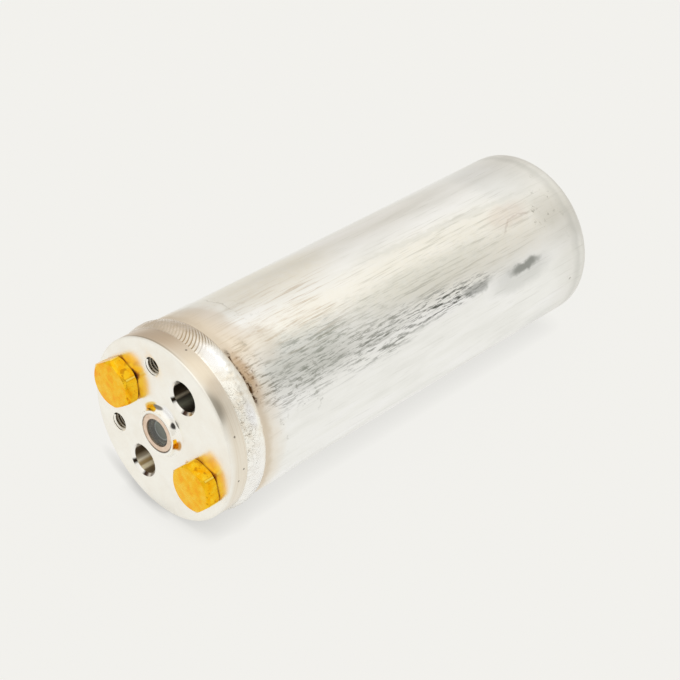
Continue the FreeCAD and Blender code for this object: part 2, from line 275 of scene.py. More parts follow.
def addWorld():
    # plain soft studio, brightest overhead, with the ground's own colour behind the picture
    world = bpy.data.worlds.new("softStudio")
    bpy.context.scene.world = world
    world.use_nodes = True
    tree = world.node_tree
    tree.nodes.clear()
    way = addNode(tree, "TexCoord").outputs["Generated"]
    height = addNode(tree, "VectorMath", {0: way, 1: upward}, operation="DOT_PRODUCT")
    level = addNode(tree, "MapRange", {
        "Value": height.outputs["Value"], "From Min": 0.2, "From Max": 0.85,
        "To Min": studio["skyLow"], "To Max": studio["skyHigh"]}, interpolation_type="SMOOTHSTEP")
    sky = tint(tree, level, 1.0, studio["skyTint"], blend="MULTIPLY")
    for angle, lift, edge, core, strength, shade in studio["darkParts"]:
        close = addNode(tree, "VectorMath", {
            0: way, 1: wayOut(angle, lift)}, operation="DOT_PRODUCT")
        mask = addNode(tree, "MapRange", {"Value": close.outputs["Value"], "From Min": edge,
                                          "From Max": core}, interpolation_type="SMOOTHSTEP")
        sky = tint(tree, sky, mask, shade, strength)
    sky = addNode(tree, "Background", {"Color": sky})
    ground = addNode(tree, "Background", {"Color": toLinear(studio["pictureGround"])})
    direct = addNode(tree, "LightPath").outputs["Is Camera Ray"]
    mix = addNode(tree, "MixShader", {0: direct, 1: sky, 2: ground})
    addNode(tree, "OutputWorld", {"Surface": mix})


def addSoftbox():
    data = bpy.data.lights.new("overheadSoftbox", "AREA")
    data.shape = "DISK"
    data.size = studio["keySize"]
    data.energy = studio["keyPower"]
    box = bpy.data.objects.new("overheadSoftbox", data)
    bpy.context.scene.collection.objects.link(box)
    way = wayOut(*studio["keyWay"])
    box.location = way * studio["keyDistance"] + Vector((0, 0, faceZ / 2))
    box.rotation_euler = way.to_track_quat("Z", "Y").to_euler()


addFloor()
addWorld()
addSoftbox()
print("floor, world and softbox placed")


# Modelling helpers
joinDistance = 1e-6               # m, points nearer than this are one


def selectOnly(piece):
    bpy.ops.object.select_all(action="DESELECT")
    piece.select_set(True)
    bpy.context.view_layer.objects.active = piece


def applyModifiers(piece):
    selectOnly(piece)
    for modifier in list(piece.modifiers):
        bpy.ops.object.modifier_apply(modifier=modifier.name)


def settle(piece, smoothAngle):
    # place goes into the mesh, faces point outwards, round stretches are shaded smooth
    selectOnly(piece)
    bpy.ops.object.transform_apply(location=True, rotation=True, scale=True)
    bpy.ops.object.mode_set(mode="EDIT")
    bpy.ops.mesh.select_all(action="SELECT")
    bpy.ops.mesh.remove_doubles(threshold=joinDistance)
    bpy.ops.mesh.normals_make_consistent(inside=False)
    bpy.ops.object.mode_set(mode="OBJECT")
    bpy.ops.object.shade_smooth_by_angle(angle=math.radians(smoothAngle))
    return piece


def turnedPiece(name, section, steps):
    # a ring of points is pulled into the section's shape and spun round the vessel's axis
    bpy.ops.object.select_all(action="DESELECT")
    bpy.ops.mesh.primitive_circle_add(vertices=len(section), radius=0.01, fill_type="NOTHING")
    piece = bpy.context.object
    piece.name = name
    for vertex, (radius, z) in zip(piece.data.vertices, section):
        vertex.co = (radius * mm, 0, z * mm)
    bpy.ops.object.mode_set(mode="EDIT")
    bpy.ops.mesh.select_all(action="SELECT")
    bpy.ops.mesh.spin(steps=steps, angle=2 * math.pi, center=(0, 0, 0), axis=(0, 0, 1))
    bpy.ops.object.mode_set(mode="OBJECT")
    return piece


def arcPoints(centre, radius, start, end, count):
    points = []
    for step in range(count + 1):
        turn = math.radians(start + (end - start) * step / count)
        points.append((centre[0] + radius * math.cos(turn), centre[1] + radius * math.sin(turn)))
    return points


def mergedCopy(node, name):
    # a copy of a CAD node with its loose triangles joined and its flat faces made whole
    source = frame["nodes"][node]
    piece = source.copy()
    piece.data = source.data.copy()
    piece.parent = None
    for key in list(piece.keys()):
        del piece[key]
    piece.name = name
    piece.data.materials.clear()
    bpy.context.scene.collection.objects.link(piece)
    selectOnly(piece)
    bpy.ops.object.mode_set(mode="EDIT")
    bpy.ops.mesh.select_all(action="SELECT")
    bpy.ops.mesh.remove_doubles(threshold=joinDistance)
    bpy.ops.mesh.normals_make_consistent(inside=False)
    bpy.ops.mesh.dissolve_limited(angle_limit=math.radians(0.2))
    bpy.ops.object.mode_set(mode="OBJECT")
    return piece


def softenEdges(piece, width, segments, angle):
    bevel = piece.modifiers.new("softEdges", "BEVEL")
    bevel.width = width * mm
    bevel.segments = segments
    bevel.limit_method = "ANGLE"
    bevel.angle_limit = math.radians(angle)
    applyModifiers(piece)


def finishPiece(piece, material, slot, *nodes):
    piece.data.materials.clear()
    piece.data.materials.append(material)
    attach(piece, "root")
    if nodes:
        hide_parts(*nodes)


# Can
canShape = {
    "wall": 2.0, "floor": 3.0, "corner": 2.5, "innerCorner": 2.0,
    "mouthSwell": 0.25, "mouthTaper": 1.5, "headerEndClearance": 0.1, "steps": 256,
    "scratchWidth": 0.35, "scratchLength": 9.0,
    # spots as paintSpots takes them: cream film on the visible side
    "film": (
        (10, 110, 30, 170, 0.70, "F3EEE0", -3), (20, 40, 16, 60, 0.6, "F3EEE0", -3),
        (60, 48, 34, 70, 0.85, "F3EEE0", -3),
    ),
    # dashes that run together where the can was dragged
    "dashes": (
        (-19, 66, 12, 50, 0.80, "74766E"), (-15, 97, 10, 62, 1.00, "585A54"),
        (-10, 72, 9, 100, 0.60, "7A7C74"), (-2, 38, 22, 54, 0.62, "7A7E74"),
        (-17, 34, 14, 34, 0.55, "76786E"), (2, 62, 20, 60, 0.30, "9A9C8E"),
        (22, 36, 14, 50, 0.30, "C0AE98"), (8, 110, 16, 90, 0.16, "A4A698"),
        (4, 19, 32, 14, 0.62, "5E5A50"), (-14, 22, 18, 14, 0.50, "6A665C"),
        (138, 86, 18, 150, 0.34, "74766E"), (203, 60, 26, 120, 0.34, "7A7E74"),
        (214, 110, 16, 130, 0.36, "6C6E66"), (262, 96, 14, 130, 0.28, "7A7C74"),
    ),
    # stretches whose finest scratches hold dirt
    "scratches": (
        (-8, 64, 30, 110, 0.22, "7E8078"), (26, 42, 34, 70, 0.40, "B79A74"),
        (10, 110, 34, 150, 0.25, "9A9884"), (205, 90, 60, 150, 0.25, "8C8E86"),
    ),
    # smooth smears, blots and thin lines
    "smears": (
        (-2, 37, 24, 46, 0.30, "A0A59A"), (3, 88, 16, 110, 0.16, "A9B0A4"),
        (-18, 112.5, 5.0, 19, 0.50, "6A6C66"), (-20.5, 137, 4.8, 20, 0.72, "666962"),
        (-25, 135, 12, 40, 0.26, "9EA09A"), (-13, 60, 6, 60, 0.14, "989A90"),
        (28.5, 112, 3.4, 110, 0.16, "B0B2A6", -3), (60, 29, 22, 0.8, 0.22, "8C8068"),
        (7, 136.5, 1.1, 9, 0.22, "94806E", 32), (10.5, 141.5, 1.2, 8, 0.22, "94806E", 4),
        (9.5, 147, 1.1, 8, 0.22, "94806E", -18), (66, 100, 24, 90, 0.10, "D0C09C"),
        (5, 157, 16, 18, 0.16, "8C8A7A"), (45, 150, 50, 30, 0.16, "B4B8B8"),
        (14, 140, 12, 26, 0.16, "C8A494"), (45, 20, 44, 13, 0.36, "CDB492"),
        (17, 25, 18, 20, 0.40, "CDBFAA"), (150, 110, 26, 120, 0.16, "A9B0A4"),
        (208, 60, 30, 90, 0.22, "A0A59A"), (236, 128, 9, 40, 0.20, "8C8F88"),
        (262, 150, 50, 30, 0.16, "B4B8B8"), (112, 34, 24, 50, 0.40, "E4D9BE"),
    ),
    # small dark specks of ground-in dirt
    "specks": (
        (-18, 36, 22, 24, 0.4, "7C7C70"), (9, 156, 15, 15, 0.85, "7C7C70"),
        (200, 158, 24, 12, 0.6, "7C7C70"), (2, 151, 16, 8, 0.4, "7C7C70"),
        (-46, 161, 4, 5, 0.9, "7C7C70"), (30, 30, 60, 14, 0.12, "7C7C70"),
        (-14, 22, 60, 6, 0.4, "7C7C70"), (12, 162, 44, 4, 0.3, "7C7C70"),
    ),
    # greyer towards the base, with painted shade on the band above its rounded corner, then heat
    # tint next to the weld with painted shade in the groove at its foot: height or depth in mm
    # where each starts, where it is full, strength, colour
    "baseWearAndCornerShade": ((4.2, 2.2, 0.45, "D9D9D4"), (24, 5, 0.42, "DAD7CE")),
    "heatTintAndGrooveShade": ((24, 15, 0.40, "E2CBA6"), (17.6, 14.6, 0.42, "C8B292")),
    "stain": ((5, 16.0, 24, 7, 0.50, "B08448"),),
    "burntDots": ((2, 16.6, 24, 6, 0.55, "6A4420"),),
}


def drawnAluminium():
    # drawn can, rubbed along its length: soft reflections pulled out sideways by fine scratches,
    # with smears, dark scuffs and a golden heat tint next to the weld
    material, tree = startMaterial("drawnAluminiumRubbed")
    coords = addNode(tree, "TexCoord").outputs["Object"]
    radius = vessel["canRadius"]
    stretch = canShape["scratchWidth"] / canShape["scratchLength"]
    along = addNode(tree, "Mapping", {"Vector": coords, "Scale": (1, 1, stretch)})
    fine = addNode(tree, "TexNoise", {
        "Vector": along, "Scale": 1 / (canShape["scratchWidth"] * 2 * mm),
        "Detail": 4.0, "Roughness": 0.65})
    broad = addNode(tree, "TexNoise", {
        "Vector": addNode(tree, "Mapping", {"Vector": coords, "Scale": (1, 1, 0.22)}),
        "Scale": 1 / (7 * mm), "Detail": 3.0, "Roughness": 0.55, "Distortion": 0.3})
    grime = addNode(tree, "TexNoise", {
        "Vector": coords, "Scale": 1 / (2.2 * mm), "Detail": 6.0, "Roughness": 0.7})
    # places shifted a little by noise give ragged edges
    wander = addNode(tree, "TexNoise", {"Vector": coords, "Scale": 1 / (4 * mm), "Detail": 3.0})
    shift = addNode(tree, "VectorMath", {
        0: wander.outputs["Color"], 1: (0.5, 0.5, 0.5)}, operation="SUBTRACT")
    shift = addNode(tree, "VectorMath", {0: shift, "Scale": 3.5 * mm}, operation="SCALE")
    ragged = addNode(tree, "VectorMath", {0: coords, 1: shift})

    colour = addNode(tree, "ValToRGB", {
        "Fac": broad}, stops=[(0.30, "F2F2EF"), (0.50, "FAFAF8"), (0.70, "FEFEFE")])
    lines = addNode(tree, "ValToRGB", {
        "Fac": fine}, stops=[(0.28, "C8C6C0"), (0.42, "FAFAF8"), (0.75, "FFFFFF")])
    colour = tint(tree, colour, 0.35, lines, blend="MULTIPLY")
    mottle = addNode(tree, "MapRange", {
        "Value": grime, "From Min": 0.3, "From Max": 0.7, "To Min": 0.55})
    colour = paintSpots(tree, colour, ragged, radius, 0.6, canShape["film"], mottle)
    dash = addNode(tree, "TexNoise", {
        "Vector": addNode(tree, "Mapping", {"Vector": coords, "Scale": (1, 1, 0.12),
        "Rotation": (0.03, 0.02, 0)}), "Scale": 1 / (0.62 * mm), "Detail": 5.0, "Roughness": 0.66})
    dash = addNode(tree, "ValToRGB", {"Fac": dash}, stops=[(0.49, "000000"), (0.62, "FFFFFF")])
    rubbed = 0.0
    for angle, depth, width, length, strength, shade in canShape["dashes"]:
        spot = overlap(tree, spotMask(tree, ragged, angle, depth, radius, width, length, 0.7), dash)
        colour = tint(tree, colour, spot, shade, strength)
        rubbed = addNode(tree, "Math", {0: spot, 1: strength, 2: rubbed}, operation="MULTIPLY_ADD")
    scratch = addNode(tree, "ValToRGB", {"Fac": fine}, stops=[(0.36, "FFFFFF"), (0.47, "000000")])
    colour = paintSpots(tree, colour, coords, radius, 0.7, canShape["scratches"], scratch)
    colour = paintSpots(tree, colour, ragged, radius, 0.6, canShape["smears"])
    speck = addNode(tree, "ValToRGB", {"Fac": grime}, stops=[(0.575, "000000"), (0.63, "FFFFFF")])
    colour = paintSpots(tree, colour, coords, radius, 0.6, canShape["specks"], speck)

    height = addNode(tree, "SeparateXYZ", {"Vector": coords}).outputs["Z"]
    # the first band is painted shade above the rounded corner, the second a greyer tone
    for start, end, strength, shade in canShape["baseWearAndCornerShade"]:
        band = addNode(tree, "MapRange", {"Value": height, "From Min": start * mm,
                                          "From Max": end * mm}, interpolation_type="SMOOTHSTEP")
        colour = tint(tree, colour, band, shade, strength)
    # painted shade: grey line round the foot of the wall, above the base's rounded corner
    height = addNode(tree, "SeparateXYZ", {"Vector": ragged}).outputs["Z"]
    line = addNode(tree, "MapRange", {"Value": height, "From Max": 12 * mm})
    line = addNode(tree, "ValToRGB", {"Fac": line}, stops=[
        (0.26, "000000"), (0.42, "FFFFFF"), (0.46, "FFFFFF"), (0.72, "000000")])
    colour = tint(tree, colour, line, "B9BAB4", 0.30)

    # the first band is heat tint, the second painted shade in the groove where the can meets the
    # weld
    for start, end, strength, shade in canShape["heatTintAndGrooveShade"]:
        band = addNode(tree, "MapRange", {
            "Value": height, "From Min": faceZ - start * mm, "From Max": faceZ - end * mm},
            interpolation_type="SMOOTHSTEP")
        colour = tint(tree, colour, band, shade, strength)
    colour = paintSpots(tree, colour, ragged, radius, 0.8, canShape["stain"])
    # dark seam along the weld's foot and burnt dots beside it, strongest on the camera's side
    grit = addNode(tree, "TexNoise", {
        "Vector": coords, "Scale": 1 / (1.1 * mm), "Detail": 4.0, "Roughness": 0.65})
    crumbs = addNode(tree, "ValToRGB", {"Fac": grit}, stops=[(0.46, "000000"), (0.54, "FFFFFF")])
    crumbs = addNode(tree, "Math", {0: crumbs, 1: 0.75, 2: 0.45}, operation="MULTIPLY_ADD")
    foot = addNode(tree, "MapRange", {
        "Value": height, "From Min": faceZ - 15.1 * mm, "From Max": faceZ - 14.3 * mm})
    hot = spotMask(tree, ragged, 5, 15, radius, 22, 60, 0.4)
    colour = tint(tree, colour, overlap(tree, hot, foot, crumbs), "4E3820", 0.85)
    dots = addNode(tree, "ValToRGB", {"Fac": grit}, stops=[(0.58, "000000"), (0.64, "FFFFFF")])
    colour = paintSpots(tree, colour, coords, radius, 0.6, canShape["burntDots"], dots)

    relief = addNode(tree, "Math", {0: fine, 1: 0.6, 2: broad}, operation="MULTIPLY_ADD")
    relief = addNode(tree, "Math", {0: rubbed, 1: -0.5, 2: relief}, operation="MULTIPLY_ADD")
    sheen = addNode(tree, "MapRange", {
        "Value": broad, "From Min": 0.3, "From Max": 0.7, "To Min": 0.30, "To Max": 0.44})
    endMaterial(tree, colour, 1.0, sheen, relief, 0.55, 0.10)
    return material


def makeCan():
    outer = vessel["canRadius"]
    bore = outer - canShape["wall"]
    swell = canShape["mouthSwell"]
    floor = canShape["floor"]
    corner = canShape["corner"]
    inner = canShape["innerCorner"]
    narrowing = vessel["headerLow"] - canShape["headerEndClearance"]
    taperLow = narrowing - canShape["mouthTaper"]
    lip = (vessel["beadTop"] + vessel["beadLow"]) / 2 - vessel["rootGap"] / 2
    section = [(0, 0)]
    section += arcPoints((outer - corner, corner), corner, -90, 0, 8)
    section += [(outer, taperLow), (outer + swell, narrowing), (outer + swell, vessel["beadLow"]),
                (bore + swell, lip), (bore + swell, narrowing), (bore, taperLow)]
    section += arcPoints((bore - inner, floor + inner), inner, 0, -90, 6)
    section += [(0, floor)]
    can = settle(turnedPiece("canBody", section, canShape["steps"]), 40)
    finishPiece(can, drawnAluminium(), "can_aluminium", "can")


makeCan()
print("can made")

# Weld bead
beadShape = {
    "crownHeight": 1.1, "spigotRadius": 27.95, "around": 1200, "across": 22,
    "rippleCount": 142, "rippleDepth": 0.17,
    "rippleSlant": 13.0, "rippleWander": 2.4,    # degrees that a ripple leans and strays
    "flowHeight": 0.16,           # mm, long waves of the crown
    "lumpHeight": (0.04, 0.12),   # mm, everywhere and besides in the calm stretch
    "sink": 0.17,                 # mm, keeps the ripples' tips near the plain crown
    "calm": (-60, 32),            # stretch where the ripples have run together
    "comb": (38, 10),             # freshest ripples: middle and half width
    # spots as paintSpots takes them: dark pits, painted white highlights on the crown, painted warm
    # shade on the stretch round 66°, dark folds
    "pits": ((-26, 8.2, 34, 3.4, 0.9, "3A2C18"), (8, 13.2, 50, 3, 0.6, "3A2C18"),
             (-60, 8, 40, 12, 0.3, "3A2C18")),
    "paintedCrownHighlights": ((22, 9.6, 16, 8, 1.0, "FFFFFF"), (-16, 10.6, 12, 5, 1.0, "FFFFFF"),
                 (-60, 10, 46, 12, 0.7, "FFFFFF")),
    "paintedWarmShade": ((66, 9, 52, 40, 0.6, "BEA484"),),
    "folds": ((-26, 8.2, 44, 8, 0.55, "7A6C52"),),
}


def weldAluminium():
    # aluminium filler frozen in ripples: bright, with dark pits, a warm cast, painted highlights
    # and painted shade
    material, tree = startMaterial("weldedAluminium")
    coords = addNode(tree, "TexCoord").outputs["Object"]
    wall = vessel["headerRadius"] + 1
    lumps = addNode(tree, "TexNoise", {"Vector": coords, "Scale": 1 / (1.8 * mm), "Detail": 3.0})
    pits = addNode(tree, "TexNoise", {
        "Vector": coords, "Scale": 1 / (1.1 * mm), "Detail": 5.0, "Roughness": 0.6})
    colour = addNode(tree, "ValToRGB", {"Fac": lumps}, stops=[(0.35, "F4EDDF"), (0.60, "FFFDF5")])
    # a brown line at each ripple's step, faint where the ripples have run together
    ripples = addNode(tree, "SeparateXYZ", {"Vector": addNode(tree, "UVMap", uv_map="ripples")})
    tooth = addNode(tree, "Math", {0: ripples.outputs["X"]}, operation="FRACT")
    line = addNode(tree, "ValToRGB", {"Fac": tooth}, stops=[
        (0.0, "6E5A40"), (0.16, "B5A388"), (0.40, "FFFFFF"), (0.90, "FFFFFF"), (1.0, "6E5A40")])
    lively = addNode(tree, "MapRange", {
        "Value": ripples.outputs["Y"], "To Min": 0.36, "To Max": 0.04})
    broken = addNode(tree, "TexNoise", {"Vector": coords, "Scale": 1 / (5 * mm)})
    broken = addNode(tree, "MapRange", {
        "Value": broken, "From Min": 0.35, "From Max": 0.6, "To Min": 0.25})
    fresh = spotMask(tree, coords, 37, 9.5, wall, 13, 14, 0.5)
    lively = addNode(tree, "Math", {
        0: overlap(tree, lively, broken), 1: fresh}, operation="MAXIMUM", use_clamp=True)
    colour = tint(tree, colour, lively, line, blend="MULTIPLY")
    pit = addNode(tree, "ValToRGB", {"Fac": pits}, stops=[(0.66, "000000"), (0.71, "FFFFFF")])
    colour = paintSpots(tree, colour, coords, wall, 0.5, beadShape["pits"], pit)
    # painted highlights: white spots where the crown shines
    colour = paintSpots(tree, colour, coords, wall, 0.7, beadShape["paintedCrownHighlights"])
    # warm tint where it meets the can
    height = addNode(tree, "SeparateXYZ", {"Vector": coords}).outputs["Z"]
    edge = addNode(tree, "MapRange", {
        "Value": height, "From Min": faceZ - 12.6 * mm, "From Max": faceZ - 14.4 * mm},
        interpolation_type="SMOOTHSTEP")
    colour = tint(tree, colour, edge, "BC9E74", 0.4)
    # painted shade: warmer and darker on the stretch round 66°
    colour = paintSpots(tree, colour, coords, vessel["headerRadius"], 0.7, beadShape["paintedWarmShade"])
    wrinkles = addNode(tree, "TexNoise", {
        "Vector": coords, "Scale": 1 / (2.3 * mm), "Detail": 2.0, "Distortion": 0.9})
    fold = addNode(tree, "ValToRGB", {"Fac": wrinkles}, stops=[
        (0.42, "000000"), (0.44, "FFFFFF"), (0.46, "000000"), (0.55, "000000"), (0.57, "FFFFFF"),
        (0.59, "000000")])
    colour = paintSpots(tree, colour, coords, wall, 0.6, beadShape["folds"], fold)
    relief = addNode(tree, "Math", {0: wrinkles, 1: 0.8, 2: lumps}, operation="MULTIPLY_ADD")
    endMaterial(tree, colour, 1.0, 0.22, relief, 0.50, 0.10)
    return material


def makeBead():
    top, low = vessel["beadTop"], vessel["beadLow"]
    middle = (top + low) / 2
    halfWidth = (top - low) / 2
    rise = beadShape["crownHeight"]
    # it runs smoothly out of the header's side and ends steeply on the can
    crown = []
    for step in range(beadShape["across"] + 1):
        share = step / beadShape["across"]
        swell = math.sin(math.pi * share) ** (0.8 if share < 0.5 else 1.5)
        crown.append((vessel["headerRadius"] + rise * swell, low + 2 * halfWidth * share))
    gap = vessel["rootGap"] / 2
    spigot = beadShape["spigotRadius"]
    section = crown + [(spigot, middle + gap), (spigot, middle - gap)]
    bead = settle(turnedPiece("weldBeadRippled", section, beadShape["around"]), 60)
    limit = vessel["beadRadius"] - 0.02
    lumpEvery, lumpCalm = beadShape["lumpHeight"]
    first, last = beadShape["calm"]
    combMiddle, combWidth = beadShape["comb"]
    phases = []
    for vertex in bead.data.vertices:
        radius = math.hypot(vertex.co.x, vertex.co.y) / mm
        angle = math.degrees(math.atan2(vertex.co.y, vertex.co.x)) - cameraSide
        across = min(max((top - vertex.co.z / mm) / (top - low), 0), 1)
        window = math.sin(math.pi * across) ** 0.6
        angle = (angle + 180) % 360 - 180
        calm = min(max(min(angle - first, last - angle) / 14, 0), 1)
        faded = min(max(0.5 + 0.8 * noise.noise(vertex.co * 45), 0.25), 0.75)
        comb = max(1 - ((angle - combMiddle) / combWidth) ** 4, 0)
        calm = max(calm, faded) * (1 - comb)
        slanted = angle - beadShape["rippleSlant"] * across ** 1.6
        slanted += beadShape["rippleWander"] * noise.noise(vertex.co * 70)
        phase = slanted * beadShape["rippleCount"] / 360
        phases.append((phase, calm))
        if radius < vessel["headerRadius"] - 0.01:
            continue
        tooth = phase - math.floor(phase)
        ripple = (tooth ** 0.7 - 0.6) * beadShape["rippleDepth"] * (1 - 0.8 * calm)
        flow = noise.noise(vertex.co * 150) * beadShape["flowHeight"]
        lump = noise.noise(vertex.co * 620) * (lumpEvery + lumpCalm * calm)
        shift = min(window * (ripple + flow + lump - beadShape["sink"]), limit - radius)
        vertex.co.x *= 1 + shift / radius
        vertex.co.y *= 1 + shift / radius
    # the material draws a line at each ripple's step, so it needs their places
    layer = bead.data.uv_layers.new(name="ripples")
    for face in bead.data.polygons:
        corners = [phases[index] for index in face.vertices]
        split = max(phase for phase, calm in corners) - min(phase for phase, calm in corners) > 20
        for loop, (phase, calm) in zip(face.loop_indices, corners):
            if split and phase < 0:
                phase += beadShape["rippleCount"]
            layer.data[loop].uv = (phase, calm)
    finishPiece(bead, weldAluminium(), "weld_aluminium", "weld_bead")


makeBead()
print("weld bead made")

# Header
headerShape = {
    "clampPlace": (13.6, 16.4), "threadRadius": 3.0, "threadDepth": 0.52,
    "threadPitch": 1.0, "threadTurns": 11, "threadStart": 0.75,
    "portReach": 5.9, "clampReach": 3.3,         # mm round a hole's axis that get its painted shade, reflections and glints
    "coveRadius": 9.4, "seamRadius": 6.5, "edgeRadius": 0.08,
    "ringPitch": 0.45,            # turning marks, drawn coarser than real ones so that they show
    # painted shade and painted reflections down each port's wall: place, how metallic, tones round
    # its wall
    "portWallShading": (
        (-18.8, 0.3, ((0.0, "F6EFE2"), (0.29, "F6EFE2"), (0.33, "20170E"), (0.44, "382E22"),
                      (0.465, "A89F8E"), (0.49, "38342C"), (0.55, "727468"), (0.60, "423F36"),
                      (0.66, "2A2119"), (0.74, "2A2119"), (0.78, "F6EFE2"), (1.0, "F6EFE2"))),
        (18.8, 0.2, ((0.0, "F6EFE2"), (0.29, "F6EFE2"), (0.33, "483A2C"), (0.41, "62543F"),
                     (0.455, "AEA38F"), (0.485, "FFFAE8"), (0.51, "C8B084"), (0.535, "BCA272"),
                     (0.555, "FFF6D8"), (0.585, "FFF4D4"), (0.61, "8A785A"), (0.66, "6E5E48"),
                     (0.74, "5E4E3C"), (0.78, "F6EFE2"), (1.0, "F6EFE2"))),
    ),
    # glossy chamfer of a mouth, with two painted dark reflections
    "mouthReflectionStops": ((0.0, "FFFDF8"), (0.435, "FFFDF8"), (0.455, "2A221A"), (0.48, "2A221A"),
                   (0.505, "FFFDF8"), (0.60, "FFFDF8"), (0.63, "3A261C"), (0.665, "5C4A40"),
                   (0.70, "E8E0D4"), (0.74, "7A6C5C"), (0.80, "FFFDF8")),
    # streaks that the cove round the boss mirrors, drawn, as the real cove is more finely curved:
    # angle, distance from the axis, width round the axis, width across, colour, strength
    "coveMarks": ((79, 8.5, 7.5, 2.2, "EFCB3A", 0.8), (-54, 8.0, 4.8, 2.2, "CB8F2E", 0.9),
                  (52, 8.2, 6.0, 1.3, "5C564C", 0.8), (-4, 7.9, 2.8, 1.2, "2A2622", 0.95),
                  (-5, 9.1, 3.6, 0.8, "56524A", 0.8), (24, 8.8, 6.5, 3.4, "FFFFFF", 1.0)),
    # spots on the side as paintSpots takes them: first painted warm shade round 66°, then smears;
    # then small dark pits
    "rimSmearsAndShade": ((66, 4, 52, 30, 0.7, "C0A484"), (-3, 0.7, 15, 7.4, 0.70, "8C8372"),
                 (20, 3.5, 20, 16, 0.5, "D6C6AC"), (6, 4.5, 10, 9, 0.5, "CFC0AC"),
                 (62, 0.6, 52, 1.6, 0.6, "8E8068")),
    "rimPits": ((-52, 3.1, 0.9, 0.9, 0.7, "3A2E20"), (-45, 4.9, 0.9, 0.9, 0.7, "3A2E20"),
                (34, 4.9, 0.9, 0.9, 0.7, "3A2E20"), (-23, 3.2, 0.9, 0.9, 0.7, "3A2E20")),
}


